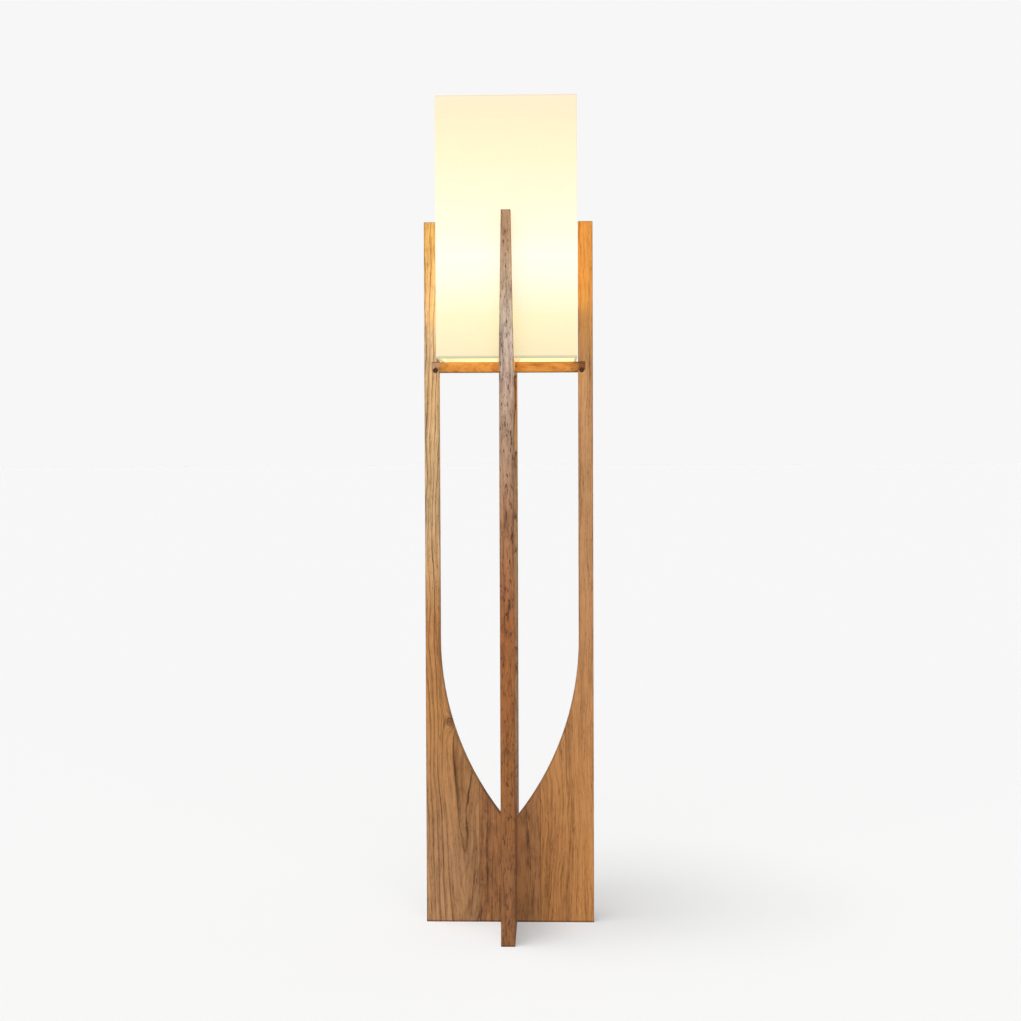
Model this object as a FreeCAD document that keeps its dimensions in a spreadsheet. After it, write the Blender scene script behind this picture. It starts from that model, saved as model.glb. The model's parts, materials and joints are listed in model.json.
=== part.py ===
import FreeCAD, Part
import math
import os
import re

import Sketcher
from FreeCAD import Rotation, Vector

# A lantern floor lamp. Two wide boards cross on the floor, and each is cut by an arch into a pair of
# slender fins. Two crossbars tie the four fins together and carry a lampholder and a square shade that
# stands loose between the fins. Millimetres, +Z up, origin on the floor under the lamp's centre line.

document = FreeCAD.newDocument("LanternFloorLamp")

# ------------------------------------------------------------------------------------------------ sizes

SIZES = [
    ("FinHeight", 1035, "floor to the tips of the fins"),
    ("FinReach", 124, "centre line to the outer edge of a fin"),
    ("UprightWidth", 21.5, "width of a fin above its arch"),
    ("BoardThickness", 20, "thickness of the boards of the stand"),
    ("TipThickness", 13.5, "thickness of a fin at its tip"),
    ("TaperRise", 10, "crossbars' tops to where a fin starts to thin"),
    ("ArchSpring", 419, "height at which the arch leaves the upright"),
    ("ArchRadius", 425, "radius of the arch"),
    ("CentreBoardWidth", 90, "width of a centre board, glue line to glue line"),
    ("LapClearance", 0.15, "play on each side of a cross lap"),
    ("EasedEdge", 0.6, "chamfer along the long edges of the boards"),
    ("CrossbarTop", 829, "floor to the tops of the crossbars"),
    ("CrossbarHeight", 15, "height of a crossbar"),
    ("CrossbarWidth", 20, "width of a crossbar"),
    ("HousingDepth", 10, "how far a bar's tenon reaches into a fin"),
    ("TenonHeight", 12, "height of a bar's tenon"),
    ("HousingClearance", 0.1, "play of a tenon in its housing"),
    ("PegDiameter", 7, "diameter of a crossbar peg"),
    ("PegInset", 5, "inner edge of a fin to the axis of its peg"),
    ("PegClearance", 0.05, "radial play of a peg"),
    ("NippleDiameter", 10, "outer diameter of the threaded nipple"),
    ("CordBore", 7.5, "diameter of the cord's way through nipple and bush"),
    ("NippleRise", 10, "how far the nipple stands above the crossbars"),
    ("NippleHoleClearance", 0.25, "radial play of the nipple in the crossbars"),
    ("ThreadClearance", 0.05, "radial play between threads, which are plain here"),
    ("WasherDiameter", 20, "diameter of the washer under the crossbars"),
    ("WasherThickness", 1.5, "thickness of that washer"),
    ("NutWidth", 14, "lock nut across its flats"),
    ("NutHeight", 5, "height of the lock nut"),
    ("BushDiameter", 16, "diameter of the cord bush"),
    ("BushHeight", 16, "height of the cord bush"),
    ("BushGrip", 8, "length of nipple inside the cord bush"),
    ("BushChamfer", 1.2, "chamfer of the bush's lower edge"),
    ("HolderDiameter", 41, "diameter of the lampholder"),
    ("HolderFootDiameter", 30, "diameter of the lampholder's foot"),
    ("HolderFootHeight", 12, "height over which the foot widens"),
    ("HolderSplit", 22, "height at which the cap meets the casing"),
    ("HolderHeight", 66, "height of the lampholder"),
    ("HolderWall", 2, "wall of the lampholder's cap and casing"),
    ("HolderFloor", 3, "floor of the lampholder's cap"),
    ("HolderRimBore", 31, "diameter of the mouth that the bulb goes into"),
    ("HolderRimHeight", 8, "height of the shoulder that turns in to the mouth"),
    ("HolderRimRadius", 16, "radius of that shoulder"),
    ("BossDiameter", 18, "diameter of the cap's boss round the nipple"),
    ("SpigotHeight", 8, "height of the cap's spigot inside the casing"),
    ("SpigotClearance", 0.1, "radial play of the spigot in the casing, and of the insert in the spigot"),
    ("ThroatClearance", 0.6, "radial play of the insert in the casing above the spigot"),
    ("InsertDiameter", 33, "diameter of the insulating insert"),
    ("InsertHeight", 16, "height of the insulating insert"),
    ("InsertDrop", 6, "how far the insert hangs inside the spigot"),
    ("InsertFlange", 3, "thickness of the insert's flange"),
    ("RecessDiameter", 17, "diameter of the recess for the centre contact"),
    ("RecessDepth", 3, "depth of that recess"),
    ("ShellBore", 27.1, "bore of the screw shell"),
    ("ShellWall", 0.5, "wall of the screw shell"),
    ("ShellHeight", 21, "height of the screw shell"),
    ("ShellLip", 4, "width of the lip that the shell stands on"),
    ("ContactThickness", 0.5, "thickness of the centre contact"),
    ("ContactWidth", 6, "width of the centre contact"),
    ("ContactFoot", 3, "length of the centre contact's foot and of its ramp"),
    ("ContactReach", 5, "length of the centre contact's raised end"),
    ("ContactStandout", 2, "bulb's tip above the insert's top"),
    ("ContactGap", 0.3, "gap between the centre contact and the bulb's tip"),
    ("TerminalOffset", 10, "centre line to the middle of a terminal block"),
    ("TerminalLength", 7, "length of a terminal block, along the depth"),
    ("TerminalWidth", 5, "width of a terminal block"),
    ("TerminalHeight", 7, "height of a terminal block"),
    ("TerminalScrewDiameter", 3.5, "diameter of a terminal screw's head"),
    ("TerminalScrewHeight", 1.6, "height of a terminal screw's head"),
    ("BulbDiameter", 65, "diameter of the bulb's globe"),
    ("BulbLength", 125, "length of the bulb"),
    ("ScrewCapDiameter", 26.2, "diameter of the bulb's screw cap"),
    ("ScrewCapWall", 0.4, "wall of the screw cap"),
    ("ScrewCapInset", 1.2, "how far the screw cap turns in at its foot"),
    ("ShoulderHeight", 26, "bulb's tip to the shoulder of its housing"),
    ("NeckDiameter", 29, "diameter of the bulb's housing at its neck"),
    ("FlareRadius", 144, "radius of the housing's flare"),
    ("GlobeJoint", 14.5, "how far the globe's edge lies under its widest place"),
    ("GlobeWall", 1.2, "wall of the globe"),
    ("HousingWall", 1.8, "wall of the bulb's housing"),
    ("HousingRootHeight", 7, "length of housing inside the screw cap"),
    ("LedgeWidth", 5, "width of the ledge that carries the lamp board"),
    ("LedgeDrop", 7, "ledge's top under the globe's edge"),
    ("LedgeBrace", 4, "height over which the ledge's underside runs back into the wall"),
    ("LampBoardThickness", 1.6, "thickness of the lamp board"),
    ("LampBoardPlay", 0.5, "radial play of the lamp board in the housing"),
    ("ChipCircle", 15, "radius of the ring of light chips"),
    ("ChipWidth", 3, "width of a light chip"),
    ("ChipHeight", 0.8, "height of a light chip"),
    ("ChipCount", 10, "number of light chips"),
    ("CapInsulatorHeight", 4, "height of the cone between screw cap and tip"),
    ("CapInsulatorRoot", 2, "height of insulator inside the screw cap"),
    ("TipDiameter", 9.4, "diameter of the bulb's tip contact"),
    ("TipHeight", 1.6, "height of the bulb's tip contact"),
    ("ShadeHeight", 371.2, "height of the shade"),
    ("ShadeClearance", 2.5, "shade to the inner edge of each fin"),
    ("ShadeSeatGap", 0.3, "shade's hem over the crossbars"),
    ("SheetThickness", 0.6, "thickness of the shade's sheet"),
    ("FrameWire", 2.5, "diameter of the shade's wire frames"),
    ("HemClearance", 0.1, "play of the wire inside the rolled hem"),
    ("HemFlap", 5, "length of sheet turned in above the wire"),
]

sizes = document.addObject("Spreadsheet::Sheet", "Sizes")
for row, (alias, value, meaning) in enumerate(SIZES, 1):
    sizes.set(f"A{row}", meaning)
    sizes.set(f"B{row}", str(value))
    sizes.setAlias(f"B{row}", alias)
document.recompute()

# Places that several pieces share, as sums of the sizes above.
INNER_EDGE = "(FinReach - UprightWidth)"
GLUE_LINE = "(CentreBoardWidth / 2)"
ARCH_CENTRE = f"(ArchRadius - {INNER_EDGE})"
ARCH_AT_GLUE_LINE = f"(ArchSpring - sqrt(pow(ArchRadius; 2) - pow({ARCH_CENTRE} + {GLUE_LINE}; 2)))"
ARCH_AT_CENTRE = f"(ArchSpring - sqrt(pow(ArchRadius; 2) - pow({ARCH_CENTRE}; 2)))"
BOARD_LAP = f"({ARCH_AT_CENTRE} / 2)"
TENON_FLOOR = "(CrossbarTop - TenonHeight)"
CROSSBAR_FLOOR = "(CrossbarTop - CrossbarHeight)"
BAR_LAP = "(CrossbarTop - CrossbarHeight / 2)"
INSERT_FLOOR = "(HolderSplit + SpigotHeight - InsertDrop)"
INSERT_TOP = f"({INSERT_FLOOR} + InsertHeight)"
CASING_BORE = "(HolderDiameter / 2 - HolderWall)"
BULB_TIP = f"({INSERT_TOP} + ContactStandout)"
GLOBE_CENTRE = "(BulbLength - BulbDiameter / 2)"
GLOBE_EDGE = f"({GLOBE_CENTRE} - GlobeJoint)"
GLOBE_EDGE_RADIUS = "sqrt(pow(BulbDiameter / 2; 2) - pow(GlobeJoint; 2))"
SHADE_FLOOR = "(CrossbarTop + ShadeSeatGap)"
HEM_RADIUS = "(FrameWire / 2 + HemClearance + SheetThickness)"
HEM_BORE = "(FrameWire / 2 + HemClearance)"
WIRE_LINE = f"({INNER_EDGE} - ShadeClearance - {HEM_RADIUS})"


def sized(total):
    """A sum of sizes as the sheet spells it: every capitalised word is a size's name."""
    return re.sub(r"\b([A-Z]\w+)", r"Sizes.\1", total)


def worth(total):
    """What a sum of sizes comes to now, in millimetres."""
    return float(sizes.evalExpression(sized(total)))


def bind(item, **totals):
    """Ties properties of an item to sums of sizes."""
    for name, total in totals.items():
        item.setExpression(name, sized(total))


# ------------------------------------------------------------------------- sketches, features, solids

parts = []


def new_body(label):
    body = document.addObject("PartDesign::Body", label)
    body.Label = label
    parts.append(body)
    return body


def stand_at(item, height, turn=0):
    """Puts a sub-part at its height on the lamp, turned about the lamp's axis."""
    item.Placement = FreeCAD.Placement(Vector(0, 0, worth(height)), Rotation(Vector(0, 0, 1), turn))
    item.setExpression(".Placement.Base.z", sized(height))


def new_sketch(body, name, plane):
    """A sketch on one of the body's own origin planes."""
    sketch = body.newObject("Sketcher::SketchObject", name)
    face = next(f for f in body.Origin.OriginFeatures if f.Role == plane)
    sketch.AttachmentSupport = (face, [""])
    sketch.MapMode = "FlatFace"
    return sketch


def fix_point(sketch, side, end, x, y):
    """Ties one end of a side to its two ordinates from the sketch's origin."""
    if x == "0":
        sketch.addConstraint(Sketcher.Constraint("PointOnObject", side, end, -2))
    else:
        row = sketch.addConstraint(Sketcher.Constraint("DistanceX", -1, 1, side, end, worth(x)))
        sketch.setExpression(f"Constraints[{row}]", sized(x))
    if y == "0":
        sketch.addConstraint(Sketcher.Constraint("PointOnObject", side, end, -1))
    else:
        row = sketch.addConstraint(Sketcher.Constraint("DistanceY", -1, 1, side, end, worth(y)))
        sketch.setExpression(f"Constraints[{row}]", sized(y))


def arc_between(start, end, radius, turn):
    """The short arc from start to end, turning left for turn = 1 and right for turn = -1."""
    chord = end - start
    left = Vector(-chord.y, chord.x, 0).normalize()
    rise = radius - math.sqrt(max(radius**2 - (chord.Length / 2) ** 2, 0))
    return Part.Arc(start, (start + end) / 2 - left * rise * turn, end)


def outline(body, name, plane, corners, bends=None):
    """A closed outline through corners. bends gives the sides that are arcs: {side: (radius, turn)}."""
    bends = bends or {}
    sketch = new_sketch(body, name, plane)
    points = [Vector(worth(x), worth(y), 0) for x, y in corners]
    ends = []
    for side, start in enumerate(points):
        end = points[(side + 1) % len(points)]
        if side in bends:
            radius, turn = bends[side]
            sketch.addGeometry(arc_between(start, end, worth(radius), turn), False)
            ends.append((1, 2) if turn > 0 else (2, 1))
        else:
            sketch.addGeometry(Part.LineSegment(start, end), False)
            ends.append((1, 2))
    for side, (first, last) in enumerate(ends):
        following = (side + 1) % len(ends)
        sketch.addConstraint(Sketcher.Constraint("Coincident", side, last, following, ends[following][0]))
    for side, (x, y) in enumerate(corners):
        fix_point(sketch, side, ends[side][0], x, y)
    for side, (radius, turn) in bends.items():
        row = sketch.addConstraint(Sketcher.Constraint("Radius", side, worth(radius)))
        sketch.setExpression(f"Constraints[{row}]", sized(radius))
    return sketch


def circle(body, name, plane, x, y, radius):
    sketch = new_sketch(body, name, plane)
    sketch.addGeometry(Part.Circle(Vector(worth(x), worth(y), 0), Vector(0, 0, 1), worth(radius)), False)
    fix_point(sketch, 0, 3, x, y)
    row = sketch.addConstraint(Sketcher.Constraint("Radius", 0, worth(radius)))
    sketch.setExpression(f"Constraints[{row}]", sized(radius))
    return sketch


def pad(body, name, sketch, length, both_ways=False):
    feature = body.newObject("PartDesign::Pad", name)
    feature.Profile = sketch
    feature.SideType = "Symmetric" if both_ways else "One side"
    bind(feature, Length=length)
    document.recompute()
    return feature


def cut_through(body, name, sketch):
    """Cuts a sketch through the whole body, both ways from the sketch's plane."""
    before = body.Shape.Volume
    feature = body.newObject("PartDesign::Pocket", name)
    feature.Profile = sketch
    feature.Type = "ThroughAll"
    feature.SideType = "Symmetric"
    document.recompute()
    if body.Shape.Volume >= before:
        raise ValueError(f"{body.Label}: {name} cuts nothing")


def revolve(label, corners, bends=None, seat=None):
    """A turned piece: its half section, in radius and height, spun about the lamp's axis."""
    body = new_body(label)
    section = outline(body, f"{label}_section", "XZ_Plane", corners, bends)
    feature = body.newObject("PartDesign::Revolution", f"{label}_turning")
    feature.Profile = section
    feature.ReferenceAxis = (section, ["V_Axis"])
    if seat:
        stand_at(body, seat)
    document.recompute()
    return body


def ease(body, name, chosen):
    """Chamfers the edges of the body's last feature that the test chooses."""
    base = body.Tip
    edges = [f"Edge{n}" for n, edge in enumerate(base.Shape.Edges, 1) if chosen(edge)]
    feature = body.newObject("PartDesign::Chamfer", name)
    feature.Base = (base, edges)
    bind(feature, Size="EasedEdge")
    document.recompute()
    return feature


def near(one, other):
    """Whether two lengths agree within a ten-thousandth of a millimetre."""
    return abs(one - other) < 1e-4


# ------------------------------------------------------------------------------------------- the fins


def make_fin(label, turn):
    """One outer board: an upright above, and a web below that swells inward along the arch to the
    glue line. Both faces thin towards the tip. The bar's end is let into its inner edge."""
    body = new_body(label)
    shape = outline(
        body,
        f"{label}_side",
        "XZ_Plane",
        [
            (GLUE_LINE, "0"),
            ("FinReach", "0"),
            ("FinReach", "FinHeight"),
            (INNER_EDGE, "FinHeight"),
            (INNER_EDGE, "ArchSpring"),
            (GLUE_LINE, ARCH_AT_GLUE_LINE),
        ],
        {4: ("ArchRadius", -1)},
    )
    pad(body, f"{label}_board", shape, "BoardThickness", both_ways=True)

    for side, sign in (("one", "+"), ("other", "-")):
        wedge = outline(
            body,
            f"{label}_{side}_wedge",
            "YZ_Plane",
            [
                (f"0 {sign} BoardThickness / 2", "CrossbarTop + TaperRise"),
                (f"0 {sign} BoardThickness", "CrossbarTop + TaperRise"),
                (f"0 {sign} BoardThickness", "FinHeight"),
                (f"0 {sign} TipThickness / 2", "FinHeight"),
            ],
        )
        cut_through(body, f"{label}_{side}_taper", wedge)

    glue_line = worth(GLUE_LINE)

    def long_edge(edge):
        box = edge.BoundBox
        along = box.ZLength > worth("TipThickness") or near(box.ZMin, worth("FinHeight"))
        return along and box.XMax > glue_line + worth("EasedEdge")

    ease(body, f"{label}_eased_edges", long_edge)

    housing = outline(
        body,
        f"{label}_housing",
        "XZ_Plane",
        [
            (f"{INNER_EDGE} - HousingDepth", TENON_FLOOR),
            (f"{INNER_EDGE} + HousingDepth + HousingClearance", TENON_FLOOR),
            (f"{INNER_EDGE} + HousingDepth + HousingClearance", "CrossbarTop + HousingClearance"),
            (f"{INNER_EDGE} - HousingDepth", "CrossbarTop + HousingClearance"),
        ],
    )
    cut_through(body, f"{label}_housing_cut", housing)
    hole = circle(
        body,
        f"{label}_peg_hole",
        "XZ_Plane",
        f"{INNER_EDGE} + PegInset",
        TENON_FLOOR,
        "PegDiameter / 2 + PegClearance",
    )
    cut_through(body, f"{label}_peg_boring", hole)
    stand_at(body, "0", turn)


FIN_TURNS = {"right_fin": 0, "back_fin": 90, "left_fin": 180, "front_fin": 270}
for fin, fin_turn in FIN_TURNS.items():
    make_fin(fin, fin_turn)


# ---------------------------------------------------------------------------------- the centre boards


def make_centre_board(label, turn, slot_from_top):
    """The board glued between two fins. Two arches meet over its middle, and a slot to half its
    height there takes the other centre board."""
    body = new_body(label)
    shape = outline(
        body,
        f"{label}_side",
        "XZ_Plane",
        [
            (f"-{GLUE_LINE}", "0"),
            (GLUE_LINE, "0"),
            (GLUE_LINE, ARCH_AT_GLUE_LINE),
            ("0", ARCH_AT_CENTRE),
            (f"-{GLUE_LINE}", ARCH_AT_GLUE_LINE),
        ],
        {2: ("ArchRadius", -1), 3: ("ArchRadius", -1)},
    )
    pad(body, f"{label}_board", shape, "BoardThickness", both_ways=True)

    for arch, sign in (("one", 1), ("other", -1)):

        def on_arch(edge, sign=sign):
            return isinstance(edge.Curve, Part.Circle) and edge.BoundBox.Center.x * sign > 0

        ease(body, f"{label}_{arch}_eased_arch", on_arch)

    half_slot = "(BoardThickness / 2 + LapClearance)"
    floor, top = (BOARD_LAP, ARCH_AT_GLUE_LINE) if slot_from_top else ("-BoardThickness", BOARD_LAP)
    slot = outline(
        body,
        f"{label}_slot",
        "XZ_Plane",
        [(f"-{half_slot}", floor), (half_slot, floor), (half_slot, top), (f"-{half_slot}", top)],
    )
    cut_through(body, f"{label}_slotting", slot)
    stand_at(body, "0", turn)


make_centre_board("side_centre_board", 0, slot_from_top=True)
make_centre_board("depth_centre_board", 90, slot_from_top=False)


# --------------------------------------------------------------------------------------- the crossbars


def make_crossbar(label, turn, lap_from_top):
    """A bar between two opposite fins, with a stub tenon at each end, cut away to half its height
    where it crosses the other bar, and bored there for the nipple."""
    body = new_body(label)
    shoulder = f"({INNER_EDGE} - HousingClearance)"
    tenon_end = f"({INNER_EDGE} + HousingDepth)"
    shape = outline(
        body,
        f"{label}_side",
        "XZ_Plane",
        [
            (f"-{shoulder}", CROSSBAR_FLOOR),
            (shoulder, CROSSBAR_FLOOR),
            (shoulder, TENON_FLOOR),
            (tenon_end, TENON_FLOOR),
            (tenon_end, "CrossbarTop"),
            (f"-{tenon_end}", "CrossbarTop"),
            (f"-{tenon_end}", TENON_FLOOR),
            (f"-{shoulder}", TENON_FLOOR),
        ],
    )
    pad(body, f"{label}_bar", shape, "CrossbarWidth", both_ways=True)

    def lower_edge(edge):
        box = edge.BoundBox
        return box.XLength > worth(shoulder) and near(box.ZMax, worth(CROSSBAR_FLOOR))

    ease(body, f"{label}_eased_edges", lower_edge)

    half_lap = "(CrossbarWidth / 2 + LapClearance)"
    clear = f"({BAR_LAP} + CrossbarHeight)" if lap_from_top else f"({BAR_LAP} - CrossbarHeight)"
    lap = outline(
        body,
        f"{label}_lap",
        "XZ_Plane",
        [(f"-{half_lap}", BAR_LAP), (half_lap, BAR_LAP), (half_lap, clear), (f"-{half_lap}", clear)],
    )
    cut_through(body, f"{label}_lapping", lap)
    bore = "NippleDiameter / 2 + NippleHoleClearance"
    hole = circle(body, f"{label}_nipple_hole", "XY_Plane", "0", "0", bore)
    cut_through(body, f"{label}_nipple_boring", hole)
    for side, sign in (("one", ""), ("other", "-")):
        groove = circle(
            body,
            f"{label}_{side}_peg_groove",
            "XZ_Plane",
            f"{sign}({INNER_EDGE} + PegInset)",
            TENON_FLOOR,
            "PegDiameter / 2 + PegClearance",
        )
        cut_through(body, f"{label}_{side}_peg_grooving", groove)
    stand_at(body, "0", turn)


make_crossbar("side_crossbar", 0, lap_from_top=True)
make_crossbar("depth_crossbar", 90, lap_from_top=False)


def group(label, members):
    """Like pieces in one sub-part, each a solid of its own."""
    compound = document.addObject("Part::Compound", label)
    compound.Label = label
    compound.Links = members
    parts.append(compound)
    return compound


def make_peg(fin, turn):
    """A round peg across a fin, half in the bar's tenon and half in the floor of its housing."""
    peg = document.addObject("Part::Cylinder", f"{fin}_peg")
    bind(peg, Radius="PegDiameter / 2", Height="BoardThickness")
    around = Rotation(Vector(0, 0, 1), turn)
    axis = around.multVec(Vector(1, 0, 0))
    across = around.multVec(Vector(0, 1, 0))
    peg.Placement = FreeCAD.Placement(Vector(), around.multiply(Rotation(Vector(1, 0, 0), 90)))
    out = f"({INNER_EDGE} + PegInset)"
    half = "BoardThickness / 2"
    peg.setExpression(".Placement.Base.x", sized(f"{out} * {axis.x:.0f} + {half} * {across.x:.0f}"))
    peg.setExpression(".Placement.Base.y", sized(f"{out} * {axis.y:.0f} + {half} * {across.y:.0f}"))
    peg.setExpression(".Placement.Base.z", sized(TENON_FLOOR))
    return peg


group("crossbar_pegs", [make_peg(fin, fin_turn) for fin, fin_turn in FIN_TURNS.items()])

# ------------------------------------------------------------ nipple, washer, nut and bush at the crossing

NIPPLE_FLOOR = f"({CROSSBAR_FLOOR} - WasherThickness - NutHeight - BushGrip)"
NIPPLE_LENGTH = "(CrossbarHeight + WasherThickness + NutHeight + BushGrip + NippleRise)"
THREAD_BORE = "(NippleDiameter / 2 + ThreadClearance)"

revolve(
    "threaded_nipple",
    [
        ("CordBore / 2", "0"),
        ("NippleDiameter / 2", "0"),
        ("NippleDiameter / 2", NIPPLE_LENGTH),
        ("CordBore / 2", NIPPLE_LENGTH),
    ],
    seat=NIPPLE_FLOOR,
)
revolve(
    "nipple_washer",
    [
        ("NippleDiameter / 2 + NippleHoleClearance", "0"),
        ("WasherDiameter / 2", "0"),
        ("WasherDiameter / 2", "WasherThickness"),
        ("NippleDiameter / 2 + NippleHoleClearance", "WasherThickness"),
    ],
    seat=f"{CROSSBAR_FLOOR} - WasherThickness",
)


def make_lock_nut():
    """A thin hexagon nut with its lower corners turned off, as its thread bore is."""
    body = new_body("lock_nut")
    corner = "(NutWidth / sqrt(3))"
    corners = [
        (corner, "0"),
        (f"{corner} / 2", "NutWidth / 2"),
        (f"-{corner} / 2", "NutWidth / 2"),
        (f"-{corner}", "0"),
        (f"-{corner} / 2", "-NutWidth / 2"),
        (f"{corner} / 2", "-NutWidth / 2"),
    ]
    pad(body, "lock_nut_blank", outline(body, "lock_nut_hexagon", "XY_Plane", corners), "NutHeight")
    bore = circle(body, "lock_nut_bore", "XY_Plane", "0", "0", THREAD_BORE)
    cut_through(body, "lock_nut_boring", bore)
    corner_cut = outline(
        body,
        "lock_nut_corner_section",
        "XZ_Plane",
        [
            ("NutWidth / 2", "0"),
            ("NutWidth", "0"),
            ("NutWidth", f"{corner} / 2"),
        ],
    )
    groove = body.newObject("PartDesign::Groove", "lock_nut_corner_turning")
    groove.Profile = corner_cut
    groove.ReferenceAxis = (corner_cut, ["V_Axis"])
    stand_at(body, f"{CROSSBAR_FLOOR} - WasherThickness - NutHeight")
    document.recompute()


make_lock_nut()

revolve(
    "cord_bush",
    [
        ("CordBore / 2", "0"),
        ("BushDiameter / 2 - BushChamfer", "0"),
        ("BushDiameter / 2", "BushChamfer"),
        ("BushDiameter / 2", "BushHeight"),
        (THREAD_BORE, "BushHeight"),
        (THREAD_BORE, "BushHeight - BushGrip"),
        ("CordBore / 2", "BushHeight - BushGrip"),
    ],
    seat=f"{NIPPLE_FLOOR} - BushHeight + BushGrip",
)

# ---------------------------------------------------------------------------------------- lampholder

SPIGOT_OUTSIDE = f"({CASING_BORE} - SpigotClearance)"
SPIGOT_BORE = f"({SPIGOT_OUTSIDE} - HolderWall)"
SPIGOT_TOP = "(HolderSplit + SpigotHeight)"

revolve(
    "lampholder_cap",
    [
        (THREAD_BORE, "0"),
        ("HolderFootDiameter / 2", "0"),
        ("HolderDiameter / 2", "HolderFootHeight"),
        ("HolderDiameter / 2", "HolderSplit"),
        (SPIGOT_OUTSIDE, "HolderSplit"),
        (SPIGOT_OUTSIDE, SPIGOT_TOP),
        (SPIGOT_BORE, SPIGOT_TOP),
        (SPIGOT_BORE, "HolderFootHeight"),
        ("HolderFootDiameter / 2 - HolderWall", "HolderFloor"),
        ("BossDiameter / 2", "HolderFloor"),
        ("BossDiameter / 2", "HolderFootHeight"),
        (THREAD_BORE, "HolderFootHeight"),
    ],
    seat="CrossbarTop",
)

CLAMP_HEIGHT = f"({SPIGOT_TOP} + InsertFlange)"
RIM_FOOT = "(HolderHeight - HolderRimHeight)"
CASING_THROAT = "(InsertDiameter / 2 + ThroatClearance)"
revolve(
    "lampholder_casing",
    [
        (CASING_BORE, "HolderSplit"),
        ("HolderDiameter / 2", "HolderSplit"),
        ("HolderDiameter / 2", RIM_FOOT),
        ("HolderRimBore / 2 + HolderWall", "HolderHeight"),
        ("HolderRimBore / 2", "HolderHeight"),
        ("HolderRimBore / 2", "HolderHeight - HolderWall"),
        (CASING_THROAT, RIM_FOOT),
        (CASING_THROAT, CLAMP_HEIGHT),
        (CASING_BORE, CLAMP_HEIGHT),
    ],
    {2: ("HolderRimRadius", 1)},
    seat="CrossbarTop",
)
revolve(
    "lampholder_insert",
    [
        ("0", INSERT_FLOOR),
        (f"{SPIGOT_BORE} - SpigotClearance", INSERT_FLOOR),
        (f"{SPIGOT_BORE} - SpigotClearance", SPIGOT_TOP),
        (SPIGOT_OUTSIDE, SPIGOT_TOP),
        (SPIGOT_OUTSIDE, CLAMP_HEIGHT),
        ("InsertDiameter / 2", CLAMP_HEIGHT),
        ("InsertDiameter / 2", INSERT_TOP),
        ("RecessDiameter / 2", INSERT_TOP),
        ("RecessDiameter / 2", f"{INSERT_TOP} - RecessDepth"),
        ("0", f"{INSERT_TOP} - RecessDepth"),
    ],
    seat="CrossbarTop",
)
revolve(
    "lampholder_shell",
    [
        ("ShellBore / 2 - ShellLip", "0"),
        ("ShellBore / 2 + ShellWall", "0"),
        ("ShellBore / 2 + ShellWall", "ShellHeight"),
        ("ShellBore / 2", "ShellHeight"),
        ("ShellBore / 2", "ShellWall"),
        ("ShellBore / 2 - ShellLip", "ShellWall"),
    ],
    seat=f"CrossbarTop + {INSERT_TOP}",
)


def make_centre_contact():
    """A brass strip: its foot lies in the insert's recess, and its raised end meets the bulb's tip."""
    body = new_body("centre_contact")
    raised = "(RecessDepth + ContactStandout - ContactGap - ContactThickness)"
    foot_end = "(-(ContactFoot + ContactReach) / 2)"
    corners = [
        (f"{foot_end} - ContactFoot", "0"),
        (foot_end, "0"),
        (f"{foot_end} + ContactFoot", raised),
        (f"{foot_end} + ContactFoot + ContactReach", raised),
        (f"{foot_end} + ContactFoot + ContactReach", f"{raised} + ContactThickness"),
        (f"{foot_end} + ContactFoot - ContactThickness / 2", f"{raised} + ContactThickness"),
        (f"{foot_end} - ContactThickness / 2", "ContactThickness"),
        (f"{foot_end} - ContactFoot", "ContactThickness"),
    ]
    strip = outline(body, "centre_contact_side", "XZ_Plane", corners)
    pad(body, "centre_contact_strip", strip, "ContactWidth", both_ways=True)
    stand_at(body, f"CrossbarTop + {INSERT_TOP} - RecessDepth")


make_centre_contact()


def make_terminal(name, side):
    """A terminal block under the insert, on one side of the nipple's end."""
    block = document.addObject("Part::Box", f"{name}_terminal")
    bind(block, Length="TerminalWidth", Width="TerminalLength", Height="TerminalHeight")
    block.setExpression(".Placement.Base.x", sized(f"{side} * TerminalOffset - TerminalWidth / 2"))
    block.setExpression(".Placement.Base.y", sized("-TerminalLength / 2"))
    block.setExpression(".Placement.Base.z", sized(f"CrossbarTop + {INSERT_FLOOR} - TerminalHeight"))
    return block


def make_terminal_screw(name, side):
    """The screw of a terminal block, its head against the block's outer side."""
    screw = document.addObject("Part::Cylinder", f"{name}_terminal_screw")
    bind(screw, Radius="TerminalScrewDiameter / 2", Height="TerminalScrewHeight")
    screw.Placement = FreeCAD.Placement(Vector(), Rotation(Vector(0, 1, 0), 90 * side))
    screw.setExpression(".Placement.Base.x", sized(f"{side} * (TerminalOffset + TerminalWidth / 2)"))
    screw.setExpression(".Placement.Base.z", sized(f"CrossbarTop + {INSERT_FLOOR} - TerminalHeight / 2"))
    return screw


SIDES = {"live": 1, "neutral": -1}
group("terminal_blocks", [make_terminal(name, side) for name, side in SIDES.items()])
group("terminal_screws", [make_terminal_screw(name, side) for name, side in SIDES.items()])

# ----------------------------------------------------------------------------------------------- bulb

BULB_SEAT = f"CrossbarTop + {BULB_TIP}"
CONE_TOP = "(TipHeight + CapInsulatorHeight)"
CAP_BORE = "(ScrewCapDiameter / 2 - ScrewCapWall)"
CAP_MOUTH = "(ScrewCapDiameter / 2 - ScrewCapInset)"

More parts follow.
